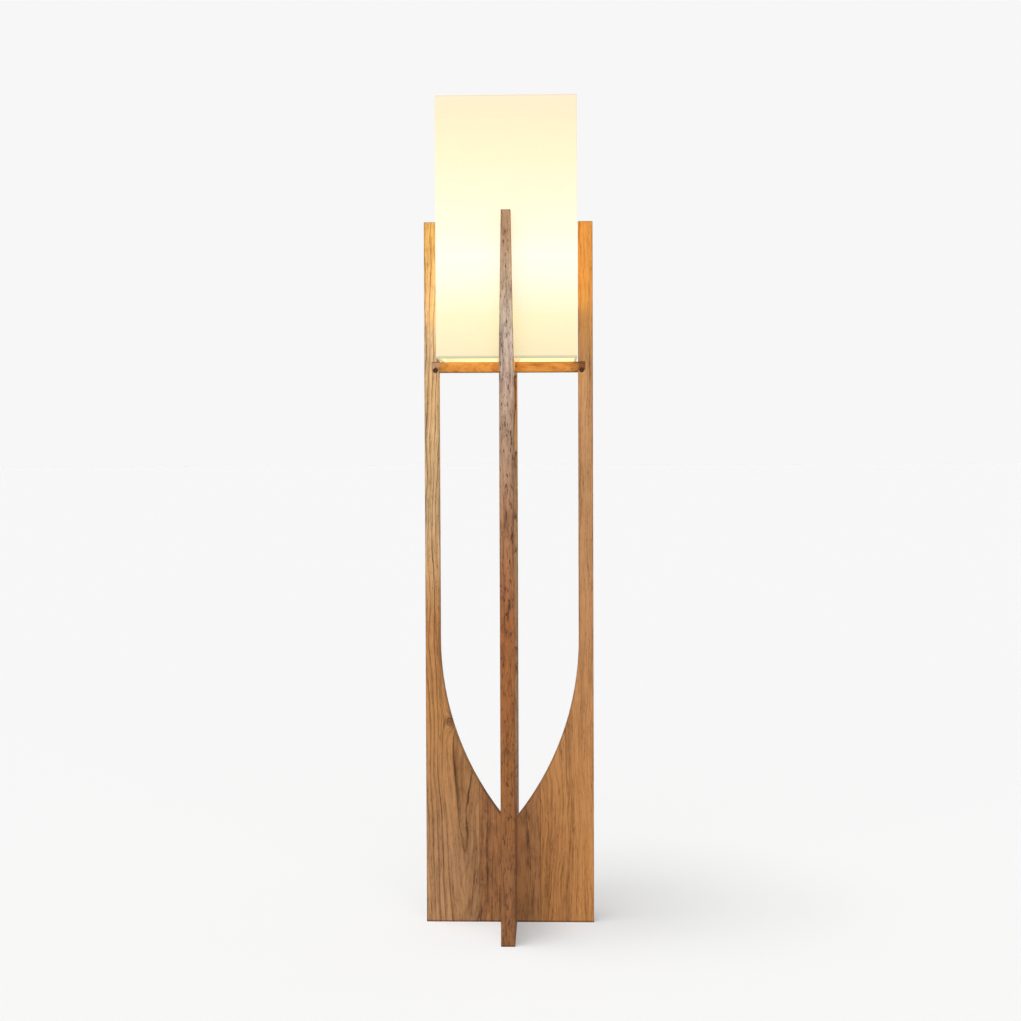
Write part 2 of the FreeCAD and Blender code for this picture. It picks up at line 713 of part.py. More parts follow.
revolve(
    "bulb_tip_contact",
    [
        ("0", "0"),
        ("TipDiameter / 2 - TipHeight / 2", "0"),
        ("TipDiameter / 2", "TipHeight"),
        ("0", "TipHeight"),
    ],
    seat=BULB_SEAT,
)
revolve(
    "bulb_cap_insulator",
    [
        ("0", "TipHeight"),
        ("TipDiameter / 2", "TipHeight"),
        (CAP_MOUTH, CONE_TOP),
        (CAP_MOUTH, f"{CONE_TOP} + CapInsulatorRoot"),
        ("0", f"{CONE_TOP} + CapInsulatorRoot"),
    ],
    seat=BULB_SEAT,
)
revolve(
    "bulb_screw_cap",
    [
        (CAP_MOUTH, CONE_TOP),
        (f"{CAP_MOUTH} + ScrewCapWall", CONE_TOP),
        ("ScrewCapDiameter / 2", f"{CONE_TOP} + ScrewCapInset - ScrewCapWall"),
        ("ScrewCapDiameter / 2", "ShoulderHeight"),
        (CAP_BORE, "ShoulderHeight"),
        (CAP_BORE, f"{CONE_TOP} + ScrewCapInset"),
        (CAP_MOUTH, f"{CONE_TOP} + ScrewCapInset - ScrewCapWall"),
    ],
    seat=BULB_SEAT,
)

HOUSING_RIM_BORE = f"({GLOBE_EDGE_RADIUS} - HousingWall)"
LEDGE_TOP = f"({GLOBE_EDGE} - LedgeDrop)"
LEDGE_BORE = f"({GLOBE_EDGE_RADIUS} - 2 * HousingWall - LedgeWidth)"
revolve(
    "bulb_housing",
    [
        (f"{CAP_BORE} - HousingWall", "ShoulderHeight - HousingRootHeight"),
        (CAP_BORE, "ShoulderHeight - HousingRootHeight"),
        (CAP_BORE, "ShoulderHeight"),
        ("NeckDiameter / 2", "ShoulderHeight"),
        (GLOBE_EDGE_RADIUS, GLOBE_EDGE),
        (HOUSING_RIM_BORE, GLOBE_EDGE),
        (f"{HOUSING_RIM_BORE} - HousingWall", LEDGE_TOP),
        (LEDGE_BORE, LEDGE_TOP),
        (LEDGE_BORE, f"{LEDGE_TOP} - HousingWall"),
        (f"{LEDGE_BORE} - HousingWall", f"{LEDGE_TOP} - HousingWall - LedgeBrace"),
        (f"{CAP_BORE} - HousingWall", "ShoulderHeight + HousingWall"),
    ],
    {3: ("FlareRadius", -1)},
    seat=BULB_SEAT,
)

INNER_GLOBE = "(BulbDiameter / 2 - GlobeWall)"
revolve(
    "bulb_globe",
    [
        (f"sqrt(pow({INNER_GLOBE}; 2) - pow(GlobeJoint; 2))", GLOBE_EDGE),
        (GLOBE_EDGE_RADIUS, GLOBE_EDGE),
        ("BulbDiameter / 2", GLOBE_CENTRE),
        ("0", "BulbLength"),
        ("0", "BulbLength - GlobeWall"),
        (INNER_GLOBE, GLOBE_CENTRE),
    ],
    {
        1: ("BulbDiameter / 2", 1),
        2: ("BulbDiameter / 2", 1),
        4: (INNER_GLOBE, -1),
        5: (INNER_GLOBE, -1),
    },
    seat=BULB_SEAT,
)


def make_led_board():
    """A round board on the housing's ledge, with a ring of raised light chips."""
    body = new_body("bulb_led_board")
    radius = f"({HOUSING_RIM_BORE} - HousingWall - LampBoardPlay)"
    disc = circle(body, "led_board_disc", "XY_Plane", "0", "0", radius)
    pad(body, "led_board_plate", disc, "LampBoardThickness")
    half = "(ChipWidth / 2)"
    chip = outline(
        body,
        "led_chip_square",
        "XY_Plane",
        [
            (f"ChipCircle - {half}", f"-{half}"),
            (f"ChipCircle + {half}", f"-{half}"),
            (f"ChipCircle + {half}", half),
            (f"ChipCircle - {half}", half),
        ],
    )
    first = pad(body, "led_chip", chip, "LampBoardThickness + ChipHeight")
    ring = body.newObject("PartDesign::PolarPattern", "led_chip_ring")
    ring.Originals = [first]
    ring.Axis = (chip, ["N_Axis"])
    ring.Angle = 360
    bind(ring, Occurrences="ChipCount")
    body.Tip = ring
    stand_at(body, f"{BULB_SEAT} + {LEDGE_TOP}")
    document.recompute()


make_led_board()

# ---------------------------------------------------------------------------------------------- shade


def make_square_ring(body, section):
    """Carries a section round the square that the wire frames follow, mitred at its four corners."""
    path = outline(
        body,
        f"{body.Label}_path",
        "XY_Plane",
        [
            (WIRE_LINE, "0"),
            (WIRE_LINE, WIRE_LINE),
            (f"-{WIRE_LINE}", WIRE_LINE),
            (f"-{WIRE_LINE}", f"-{WIRE_LINE}"),
            (WIRE_LINE, f"-{WIRE_LINE}"),
        ],
    )
    ring = body.newObject("PartDesign::AdditivePipe", f"{body.Label}_round")
    ring.Profile = section
    ring.Spine = (path, [f"Edge{side + 1}" for side in range(path.GeometryCount)])
    ring.Transition = "Right corner"
    document.recompute()


def draw_sheet(body, name):
    """The sheet's section: rolled inward round each wire, its edge turned in against the inside."""
    face = f"({WIRE_LINE} + {HEM_RADIUS})"
    back = f"({WIRE_LINE} + {HEM_BORE})"
    flap_back = f"({WIRE_LINE} - {HEM_RADIUS})"
    flap_face = f"({WIRE_LINE} - {HEM_BORE})"
    low = HEM_RADIUS
    high = f"(ShadeHeight - {HEM_RADIUS})"
    corners = [
        (face, low),
        (face, high),
        (WIRE_LINE, "ShadeHeight"),
        (flap_back, high),
        (flap_back, f"{high} - HemFlap"),
        (flap_face, f"{high} - HemFlap"),
        (flap_face, high),
        (WIRE_LINE, "ShadeHeight - SheetThickness"),
        (back, high),
        (back, low),
        (WIRE_LINE, "SheetThickness"),
        (flap_face, low),
        (flap_face, f"{low} + HemFlap"),
        (flap_back, f"{low} + HemFlap"),
        (flap_back, low),
        (WIRE_LINE, "0"),
    ]
    outer_rolls = {side: (HEM_RADIUS, 1) for side in (1, 2, 14, 15)}
    inner_rolls = {side: (HEM_BORE, -1) for side in (6, 7, 9, 10)}
    return outline(body, name, "XZ_Plane", corners, outer_rolls | inner_rolls)


def draw_wire(body, name):
    return circle(body, name, "XZ_Plane", WIRE_LINE, "0", "FrameWire / 2")


def make_shade_piece(label, draw_section, height):
    body = new_body(label)
    make_square_ring(body, draw_section(body, f"{label}_section"))
    stand_at(body, height)


make_shade_piece("shade_cover", draw_sheet, SHADE_FLOOR)
make_shade_piece("shade_bottom_frame", draw_wire, f"{SHADE_FLOOR} + {HEM_RADIUS}")
make_shade_piece("shade_top_frame", draw_wire, f"{SHADE_FLOOR} + ShadeHeight - {HEM_RADIUS}")

# ------------------------------------------------------------------------------------ check and write

document.recompute()
for item in document.Objects:
    if "Invalid" in item.State or "Error" in item.State:
        raise ValueError(f"{item.Label} failed: {item.State}")
os.makedirs("parts", exist_ok=True)
for part in parts:
    if part.Shape.isNull() or not part.Shape.isValid() or part.Shape.Volume <= 0:
        raise ValueError(f"{part.Label} has no sound shape")
    part.Shape.exportStep(f"parts/{part.Label}.step")
    box = part.Shape.BoundBox
    print(
        f"{part.Label}: {len(part.Shape.Solids)} solid(s), {part.Shape.Volume:.0f} mm3, "
        f"z {box.ZMin:.1f} to {box.ZMax:.1f}, x {box.XMin:.1f} to {box.XMax:.1f}"
    )
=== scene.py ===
import json
import math

import bpy
from mathutils import Matrix, Vector

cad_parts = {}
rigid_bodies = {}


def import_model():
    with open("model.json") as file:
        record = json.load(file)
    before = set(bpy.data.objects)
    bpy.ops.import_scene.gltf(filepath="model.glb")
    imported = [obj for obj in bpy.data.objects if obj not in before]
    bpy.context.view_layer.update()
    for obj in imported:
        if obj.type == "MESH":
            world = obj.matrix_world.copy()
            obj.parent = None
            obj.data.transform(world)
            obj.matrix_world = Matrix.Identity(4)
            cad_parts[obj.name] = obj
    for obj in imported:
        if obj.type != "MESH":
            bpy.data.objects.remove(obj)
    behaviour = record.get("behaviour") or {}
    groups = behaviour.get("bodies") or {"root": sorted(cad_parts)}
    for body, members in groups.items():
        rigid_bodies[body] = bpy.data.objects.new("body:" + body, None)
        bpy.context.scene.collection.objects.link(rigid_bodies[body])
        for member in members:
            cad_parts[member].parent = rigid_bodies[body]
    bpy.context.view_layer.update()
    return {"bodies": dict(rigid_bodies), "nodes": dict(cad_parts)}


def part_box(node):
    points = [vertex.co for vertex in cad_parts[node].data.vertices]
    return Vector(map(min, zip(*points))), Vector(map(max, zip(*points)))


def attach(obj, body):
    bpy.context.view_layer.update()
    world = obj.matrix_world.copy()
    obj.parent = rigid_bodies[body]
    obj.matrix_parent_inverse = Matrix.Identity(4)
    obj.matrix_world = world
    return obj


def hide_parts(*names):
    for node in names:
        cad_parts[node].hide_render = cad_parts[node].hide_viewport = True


# A lantern floor lamp: two arched boards cross on the floor and rise as four slender fins, two bars tie
# the fins together, and a square lit shade stands loose on the bars. Metres, +Z up, the front towards -Y.

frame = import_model()

# ------------------------------------------------------------------------------------- the outer boards
# Four boards of oiled hardwood, each sawn to a slender upright above and a swelling arched web below.
# Their growth rings run out on the face as long pointed figures, and cut ends drink more oil. Eased
# edges and the bottom edge carry painted shade, and the colour near the shade holds painted glow.


class Flow:
    """A socket in a finish's nodes. Arithmetic on it adds Math nodes, and node() adds any other node."""

    def __init__(self, socket):
        self.socket = socket

    def node(self, kind, settings, inputs, output=0):
        made = self.socket.id_data.nodes.new(kind)
        for name, setting in settings.items():
            if name == "stops":
                stops = made.color_ramp.elements
                while len(stops) < len(setting):
                    stops.new(1.0)
                for stop, (position, tint) in zip(stops, setting):
                    stop.position = position
                    stop.color = tint
            else:
                setattr(made, name, setting)
        for name, value in inputs.items():
            if isinstance(value, Flow):
                made.id_data.links.new(value.socket, made.inputs[name])
            else:
                made.inputs[name].default_value = value
        return Flow(made.outputs[output]) if made.outputs else None

    def maths(self, operation, *others):
        return self.node("ShaderNodeMath", {"operation": operation}, dict(enumerate((self, *others))))

    def after(self, operation, other):
        return self.node("ShaderNodeMath", {"operation": operation}, {0: other, 1: self})

    def __add__(self, other):
        return self.maths("ADD", other)

    def __sub__(self, other):
        return self.maths("SUBTRACT", other)

    def __mul__(self, other):
        return self.maths("MULTIPLY", other)

    def __truediv__(self, other):
        return self.maths("DIVIDE", other)

    def __pow__(self, other):
        return self.maths("POWER", other)

    def __abs__(self):
        return self.maths("ABSOLUTE")

    def __radd__(self, other):
        return self.after("ADD", other)

    def __rsub__(self, other):
        return self.after("SUBTRACT", other)

    def __rmul__(self, other):
        return self.after("MULTIPLY", other)

    def __rtruediv__(self, other):
        return self.after("DIVIDE", other)

    def part(self, axis):
        """One ordinate of a place or a direction."""
        return self.node("ShaderNodeSeparateXYZ", {}, {0: self}, "XYZ".index(axis))

    def facing(self):
        """The way that the surface faces here."""
        return self.node("ShaderNodeNewGeometry", {}, {}, "Normal")

    def along(self, operation, other, output=0):
        """Vector maths with another place or direction."""
        return self.node("ShaderNodeVectorMath", {"operation": operation}, {0: self, 1: other}, output)

    def cloud(self, scale, detail=2.0, rough=0.5):
        """Soft random values around 0.5 at this place."""
        inputs = {"Vector": self, "Scale": scale, "Detail": detail, "Roughness": rough}
        return self.node("ShaderNodeTexNoise", {"noise_dimensions": "3D"}, inputs)

    def between(self, low, high):
        """0 below low, 1 above high, and smooth from one to the other."""
        inputs = {"Value": self, "From Min": low, "From Max": high}
        return self.node("ShaderNodeMapRange", {"interpolation_type": "SMOOTHSTEP"}, inputs)

    def ramp(self, *stops):
        """The colour at this value, from pairs of a value and a colour in rising order."""
        low, high = stops[0][0], stops[-1][0]
        inputs = {"Value": self, "From Min": low, "From Max": high}
        share = self.node("ShaderNodeMapRange", {}, inputs)
        pairs = [((value - low) / (high - low), tint) for value, tint in stops]
        return self.node("ShaderNodeValToRGB", {"stops": pairs}, {0: share})

    def mixed(self, none, full):
        """The first colour where this value is 0, and the second where it is 1."""
        # The colours of this node are its inputs 6 and 7 and its output 2.
        return self.node("ShaderNodeMix", {"data_type": "RGBA"}, {"Factor": self, 6: none, 7: full}, 2)

    def bump(self, depth):
        """A surface's normal, raised by this value, depth metres from 0 to 1."""
        return self.node("ShaderNodeBump", {}, {"Height": self, "Distance": depth, "Strength": 1.0})


def colour(red, green, blue):
    """A colour given in the 0 to 255 of a screen, as the light that it stands for."""
    shares = [level / 255 for level in (red, green, blue)]
    return (*[s / 12.92 if s < 0.04045 else ((s + 0.055) / 1.055) ** 2.4 for s in shares], 1.0)


def new_finish(name):
    """A bare material, with the place of each of its points."""
    material = bpy.data.materials.new(name)
    material.use_nodes = True
    material.node_tree.nodes.clear()
    return material, Flow(material.node_tree.nodes.new("ShaderNodeTexCoord").outputs["Object"])


def close_finish(material, place, **inputs):
    """Ends a finish with its shader. Words in a socket's name are joined by underscores."""
    sockets = {name.replace("_", " "): value for name, value in inputs.items()}
    shader = place.node("ShaderNodeBsdfPrincipled", {}, sockets)
    shader.node("ShaderNodeOutputMaterial", {}, {"Surface": shader})
    return material


def dress(material, *pieces):
    """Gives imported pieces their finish."""
    for piece in pieces:
        mesh = frame["nodes"][piece].data
        mesh.materials.clear()
        mesh.materials.append(material)


# The radius of the eased edges, then painted shade: the band along the bottom where the boards meet the
# floor, and the dark colour laid on the edges.
EASED_EDGE = 0.0018
PAINTED_FOOT_SHADE = (0.001, 0.0035)
PAINTED_EDGE_SHADE = colour(52, 34, 24)


def make_wood(
    name, lie, pith, tones_and_glow, dark, seed, tilt=0.0, year=0.006, lines=1.0, flecks=0.28, mottle=0.6, painted_light_drift=0.0,
    knot=None, curl=None,
):
    """Oiled wood. lie names the axes across the board, through it and along its fibres, and tones gives
    its colour at places along them; on the outer boards their upper stops are painted glow and glare from
    the lit shade. The rings, each a year wide, are centred on a line at pith, across and behind the face,
    that leans by tilt along the fibres. lines, flecks and mottle set how strongly the rings, the pores and
    the blotches show, and drift darkens the wood from one edge to the other, painted light where it
    offsets a cast shadow."""
    material, place = new_finish(name)
    facing = place.facing()
    across, through, along = (place.part(axis) for axis in lie)
    start = (seed, seed * 1.7, 0)
    grain = place.node("ShaderNodeCombineXYZ", {}, {0: across, 1: through, 2: along}).along("ADD", start)

    # Growth rings, swayed a little, and drawn round a knot.
    sway = grain.along("MULTIPLY", (3.0, 3.0, 1.0)).cloud(4.0) - 0.5
    ripple = grain.along("MULTIPLY", (10.0, 10.0, 2.0)).cloud(9.0, 3.0) - 0.5
    reach = across - pith[0] + sway * 0.03 + ripple * 0.006
    depth = through * 0.6 + pith[1] + (along - 0.2) * tilt + sway * 0.02
    ring = (reach * reach + depth * depth) ** 0.5 + abs(reach) * 0.12
    if knot:
        aside = across - knot[0]
        above = along - knot[1]
        near_knot = 1.0 / (1.0 + (aside * aside + above * above * 0.3) / 0.00004)
        ring = ring + near_knot * 0.016
    turn = ring / year + ripple * 0.7
    share = turn.maths("FRACT")
    strong = turn.node("ShaderNodeTexWhiteNoise", {"noise_dimensions": "1D"}, {"W": turn.maths("FLOOR")})
    late = share ** 6.0 * (1.0 - share.between(0.92, 1.0)) * (strong * 0.9 + 0.3)
    late = late * abs(reach).between(-0.006, 0.014)

    # Fibres and pores follow the rings, and broad bands and blotches lie over them.
    follow = place.node("ShaderNodeCombineXYZ", {}, {0: ring, 1: through + reach * 0.2, 2: along * 0.03})
    follow = follow.along("ADD", start)
    streak = follow.cloud(150.0, 4.0, 0.65) - 0.5
    fibre = follow.cloud(700.0, 2.0, 0.6) - 0.5
    pore = grain.along("MULTIPLY", (1.0, 1.0, 0.22)).cloud(560.0, 2.0).between(0.56, 0.7)
    broad = grain.along("MULTIPLY", (1.0, 1.0, 0.2)).cloud(26.0, 3.0) - 0.5
    blotch = grain.along("MULTIPLY", (1.0, 1.0, 0.35)).cloud(150.0, 3.0, 0.6) - 0.5
    shade = streak * 1.7 + fibre * 1.3 + late * 1.3 * lines
    shade = shade + pore * flecks + broad + blotch * mottle + across * painted_light_drift
    if curl:
        band = 1.0 - abs(along - curl).between(0.008, 0.05)
        shade = shade + ((along + across * 0.45) * 1900.0).maths("SINE") * band * 0.2
    if knot:
        shade = shade + near_knot.between(0.4, 0.95) * 0.5
    light = along.ramp(*tones_and_glow) if len(tones_and_glow) > 1 else tones_and_glow[0][1]
    wood = shade.between(-0.5, 1.2).mixed(light, dark)

    # Cut ends are darker, as end grain takes more oil. Eased edges get painted shade, dark lines where
    # the surface turns, and so does a thin band along the bottom where the boards stand on the floor.
    cut_end = abs(facing.part(lie[2])).between(0.15, 0.8)
    rounded = place.node("ShaderNodeBevel", {"samples": 4}, {"Radius": EASED_EDGE})
    edge = 1.0 - facing.along("DOT_PRODUCT", rounded, "Value")
    foot_shade = 1.0 - place.part("Z").between(*PAINTED_FOOT_SHADE)
    wood = (cut_end * 0.7).maths("MAXIMUM", foot_shade * 0.7).mixed(wood, dark)
    wood = (edge.between(0.02, 0.22) * 0.85).mixed(wood, PAINTED_EDGE_SHADE)
    relief = fibre * 0.7 - late * 0.5 - pore * 0.5
    return close_finish(
        material, place, Base_Color=wood, Roughness=0.68 + fibre * 0.3, Specular_IOR_Level=0.2,
        Normal=relief.bump(0.0002),
    )


# The upper colour stops below hold painted light. At the shade's height the left board turns paler and
# yellower and the right board more orange, painted glow from it, and the front board turns pale and greyish
# there, painted glare.
dress(make_wood(
    "left board wood", "XYZ", (-0.070, 0.028),
    [(0.1, colour(185, 138, 94)), (0.3, colour(189, 134, 79)), (0.44, colour(197, 138, 83)),
     (0.6, colour(222, 183, 133)), (0.8, colour(222, 183, 133)), (0.86, colour(244, 207, 160)),
     (0.93, colour(222, 183, 136)), (1.0, colour(210, 168, 106))],
    colour(86, 52, 28), 1.0, tilt=-0.06, year=0.0066, knot=(-0.0875, 0.298), curl=0.462,
), "left_fin")
dress(make_wood(
    "right board wood", "XYZ", (0.02, 0.012),
    [(0.1, colour(199, 138, 79)), (0.3, colour(199, 141, 87)), (0.45, colour(198, 144, 95)),
     (0.8, colour(199, 150, 103)), (0.95, colour(204, 142, 73))],
    colour(92, 52, 26), 2.0, year=0.0042, lines=0.5,
), "right_fin")
dress(make_wood(
    "front board wood", "YXZ", (-0.06, 0.012),
    [(0.1, colour(147, 97, 57)), (0.26, colour(158, 100, 50)), (0.45, colour(166, 102, 54)),
     (0.6, colour(177, 126, 90)), (0.71, colour(191, 156, 127)), (0.8, colour(200, 171, 151)),
     (0.87, colour(209, 188, 168)), (0.94, colour(204, 174, 143)), (1.0, colour(186, 146, 112))],
    colour(74, 44, 30), 3.0, year=0.005, lines=0.5, flecks=0.8, mottle=1.4,
), "front_fin")
dress(make_wood(
    "back board wood", "YXZ", (0.07, 0.03), [(0.5, colour(163, 127, 87)), (0.75, colour(200, 153, 107))],
    colour(84, 52, 30), 4.0, tilt=-0.03,
), "back_fin")

# ------------------------------------------------------------------------------------ the centre boards
# Two short boards, darker and closer grained, each glued between a pair of outer boards. They cross lap
# where they meet, and the arches run on over them to a point under the middle of the lamp.

# Both boards lighten towards one edge. On the side board this is painted light that lifts its right half,
# where the front fin's shadow falls.
for board, lie, seed in (("side_centre_board", "XYZ", 5.0), ("depth_centre_board", "YXZ", 6.0)):
    dress(make_wood(
        board.replace("_", " ") + " wood", lie, (0.012, 0.02), [(0.0, colour(180, 125, 79))],
        colour(62, 36, 20), seed, year=0.008, lines=0.5, mottle=1.6, painted_light_drift=-5.0,
    ), board)

# ----------------------------------------------------------------------------------------- the crossbars
# Two bars half lapped at the middle. Each end is let into an open housing in a fin, flush with its
# faces, and pinned by a round peg that shows its end grain beside the tenon.

# The colours at the two ends, where the bars run into the fins, are greyer and darker: painted shade,
# standing for the shade's glow not reaching there.
bar_brown = colour(196, 140, 74)
for bar, lie, seed in (("side_crossbar", "ZYX", 7.0), ("depth_crossbar", "ZXY", 8.0)):
    dress(make_wood(
        bar.replace("_", " ") + " wood", lie, (0.82, 0.03),
        [(-0.104, colour(195, 158, 126)), (-0.101, bar_brown), (0.101, bar_brown),
         (0.104, colour(150, 94, 57))],
        colour(110, 54, 16), seed, tilt=0.15, year=0.0038, lines=0.8, mottle=0.9,
    ), bar)
dress(make_wood(
    "peg wood", "XZY", (0.3, 0.0), [(0.0, colour(96, 66, 42))], colour(44, 28, 18), 9.0,
), "crossbar_pegs")

# ------------------------------------------------------------------------------ the lampholder's fixing
# A plated threaded nipple runs down through the crossing of the bars. A washer and a lock nut hold it
# there, and a moulded bush under the nut lets the cord in without a sharp edge.


def make_metal(name, bright, dull, rough, relief=None):
    """Plated or plain metal with a faint mottle."""
    material, place = new_finish(name)
    patch = place.cloud(160.0, 3.0)
    height = patch * 0.2 + (relief(place) if relief else place.cloud(2400.0) * 0.3)
    return close_finish(
        material, place, Base_Color=patch.between(0.3, 0.7).mixed(bright, dull), Metallic=1.0,
        Roughness=rough + (patch - 0.5) * 0.3, Normal=height.bump(0.0004 if relief else 0.00005),
    )


def thread(pitch):
    """The rise of a screw thread around the lamp's centre line."""
    def rise(place):
        angle = place.part("Y").maths("ARCTAN2", place.part("X"))
        return ((place.part("Z") * (math.tau / pitch)) - angle).maths("SINE") * 0.5 + 0.5
    return rise


NIPPLE_PITCH = 0.001
zinc, dull_zinc = colour(206, 206, 202), colour(166, 166, 164)
dress(make_metal("nipple zinc plate", zinc, dull_zinc, 0.36, thread(NIPPLE_PITCH)), "threaded_nipple")
dress(make_metal("zinc plate", zinc, dull_zinc, 0.38), "nipple_washer", "lock_nut", "terminal_screws")


def make_moulding(name, light, deep, rough, flutes=0):
    """Moulded plastic or glazed ceramic, with flutes round the lamp's centre line if any."""
    material, place = new_finish(name)
    cloud = place.cloud(90.0, 3.0)
    relief = place.cloud(1800.0, 2.0) * 0.25
    if flutes:
        angle = place.part("Y").maths("ARCTAN2", place.part("X"))
        upright = 1.0 - abs(place.facing().part("Z"))
        relief = relief + (angle * flutes).maths("SINE") * 0.5 * upright
    return close_finish(
        material, place, Base_Color=cloud.between(0.3, 0.7).mixed(light, deep),
        Roughness=rough + (cloud - 0.5) * 0.15, Specular_IOR_Level=0.4,
        Normal=relief.bump(0.0004 if flutes else 0.00006),
    )


dress(make_moulding("bush plastic", colour(44, 42, 40), colour(34, 32, 31), 0.5), "cord_bush")

# ---------------------------------------------------------------------------------------- the lampholder
# A moulded cap screws onto the nipple and a fluted casing onto the cap. Between them they grip a ceramic
# insert with the brass screw shell, the spring contact and two terminals.

CASING_FLUTES = 36
SCREW_PITCH = 0.00362
cream, deep_cream = colour(236, 230, 214), colour(226, 218, 200)
dress(make_moulding("lampholder plastic", cream, deep_cream, 0.42), "lampholder_cap")
dress(make_moulding("lampholder casing plastic", cream, deep_cream, 0.42, CASING_FLUTES), "lampholder_casing")
dress(make_moulding("insert ceramic", colour(238, 236, 228), colour(228, 225, 214), 0.3), "lampholder_insert")
brass, dark_brass = colour(226, 190, 112), colour(196, 158, 86)
dress(make_metal("shell brass", brass, dark_brass, 0.3, thread(SCREW_PITCH)), "lampholder_shell")
dress(make_metal("contact brass", brass, dark_brass, 0.32), "centre_contact", "terminal_blocks")

# ----------------------------------------------------------------------------------------------- the bulb
# A globe of opal plastic on a flared white housing, with a nickel screw cap, a black insulating cone and
# a soldered tip. Ten light chips on the board behind the globe make it shine evenly.

nickel, dull_nickel = colour(220, 217, 210), colour(188, 184, 176)
dress(make_metal("cap nickel", nickel, dull_nickel, 0.28, thread(SCREW_PITCH)), "bulb_screw_cap")
black, deep_black = colour(30, 30, 34), colour(20, 20, 24)
dress(make_moulding("cap insulator glass", black, deep_black, 0.18), "bulb_cap_insulator")
dress(make_metal("tip solder", colour(196, 196, 198), colour(150, 150, 154), 0.42), "bulb_tip_contact")
dress(make_moulding("housing plastic", colour(244, 243, 238), colour(236, 235, 228), 0.38), "bulb_housing")

CHIP_HEIGHT = 0.0006
material, place = new_finish("light board")
board_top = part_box("bulb_led_board")[1].z - CHIP_HEIGHT
chip = place.part("Z").between(board_top - 0.0001, board_top + 0.0001)
board_white = place.cloud(200.0).mixed(colour(240, 240, 236), colour(226, 226, 222))
close_finish(
    material, place, Roughness=0.5, Base_Color=chip.mixed(board_white, colour(248, 214, 92)),
    Emission_Color=chip.mixed(colour(0, 0, 0), colour(255, 236, 190)), Emission_Strength=2.0,
)
dress(material, "bulb_led_board")

material, place = new_finish("opal globe")
globe_low, globe_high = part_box("bulb_globe")
bulb_middle = (globe_low.z + globe_high.z) / 2
full = place.part("Z").between(globe_low.z, globe_low.z + 0.02)
close_finish(
    material, place, Roughness=0.35,
    Base_Color=place.cloud(40.0).mixed(colour(250, 246, 234), colour(244, 238, 222)),
    Emission_Color=full.mixed(colour(255, 226, 170), colour(255, 244, 214)), Emission_Strength=1.6,
)
dress(material, "bulb_globe")

# -------------------------------------------------------------------------------------------- the shade
# One stiff sheet of linen laminated on film, folded to a square tube and lapped at the back. Its two
# edges are rolled round wire frames, and the bulb inside lights it, brightest at the height of the globe.

material, place = new_finish("frame wire paint")
close_finish(
    material, place, Roughness=0.5, Normal=place.cloud(900.0).bump(0.0001),
    Base_Color=place.cloud(300.0).mixed(colour(226, 222, 208), colour(204, 200, 186)),
)
dress(material, "shade_top_frame", "shade_bottom_frame")

shade_low, shade_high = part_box("shade_cover")
SHEET = 0.0006
ROLL = 0.00195 - SHEET / 2
FLAP = 0.005
FOLD = 0.0012
TIGHTEST_FOLD = 0.0004
LAP = 0.006
BEND_STEP = 22.5
WALL_ROWS = 24


def square_round(half, bend):
    """Points round a square with rounded corners, clockwise from above, from just left of the back's
    middle to the lap over it."""
    flat = half - bend
    spots = []
    for corner_x, corner_y, start in ((1, 1, 90), (1, -1, 0), (-1, -1, -90), (-1, 1, -180)):
        for step in range(5):
            angle = math.radians(start - step * BEND_STEP)
            spots.append((corner_x * flat + bend * math.cos(angle), corner_y * flat + bend * math.sin(angle)))
    over = half + SHEET * 1.05
    return [(-LAP, half), *spots, (-5 * LAP, half), (-2 * LAP, over), (LAP, over)]


# How far in from the wall and how high the sheet runs, from the flap in the lower hem to the upper one.
low, high = shade_low.z + ROLL + SHEET / 2, shade_high.z - ROLL - SHEET / 2
bends = [math.radians(BEND_STEP * n) for n in range(1, 8)]
profile = [(2 * ROLL, low + FLAP), (2 * ROLL, low)]
profile += [(ROLL - ROLL * math.cos(a), low - ROLL * math.sin(a)) for a in reversed(bends)]
profile += [(0.0, low + (high - low) * n / WALL_ROWS) for n in range(WALL_ROWS + 1)]
profile += [(ROLL - ROLL * math.cos(a), high + ROLL * math.sin(a)) for a in bends]
profile += [(2 * ROLL, high), (2 * ROLL, high - FLAP)]

rows = []
for inset, z in profile:
    outline = square_round(shade_high.x - SHEET / 2 - inset, max(FOLD - inset, TIGHTEST_FOLD))
    rows.append([(x, y, z) for x, y in outline])
count = len(rows[0])
faces = [
    (row * count + n, row * count + n + 1, (row + 1) * count + n + 1, (row + 1) * count + n)
    for row in range(len(rows) - 1) for n in range(count - 1)
]
sheet_mesh = bpy.data.meshes.new("shade_sheet")
sheet_mesh.from_pydata([spot for row in rows for spot in row], [], faces)
sheet_mesh.polygons.foreach_set("use_smooth", [True] * len(faces))
shade_sheet = bpy.data.objects.new("shade_sheet", sheet_mesh)
bpy.context.scene.collection.objects.link(shade_sheet)
body_of_sheet = shade_sheet.modifiers.new("body of the sheet", "SOLIDIFY")
body_of_sheet.thickness = SHEET
body_of_sheet.offset = 0.0
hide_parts("shade_cover")
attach(shade_sheet, "shade")

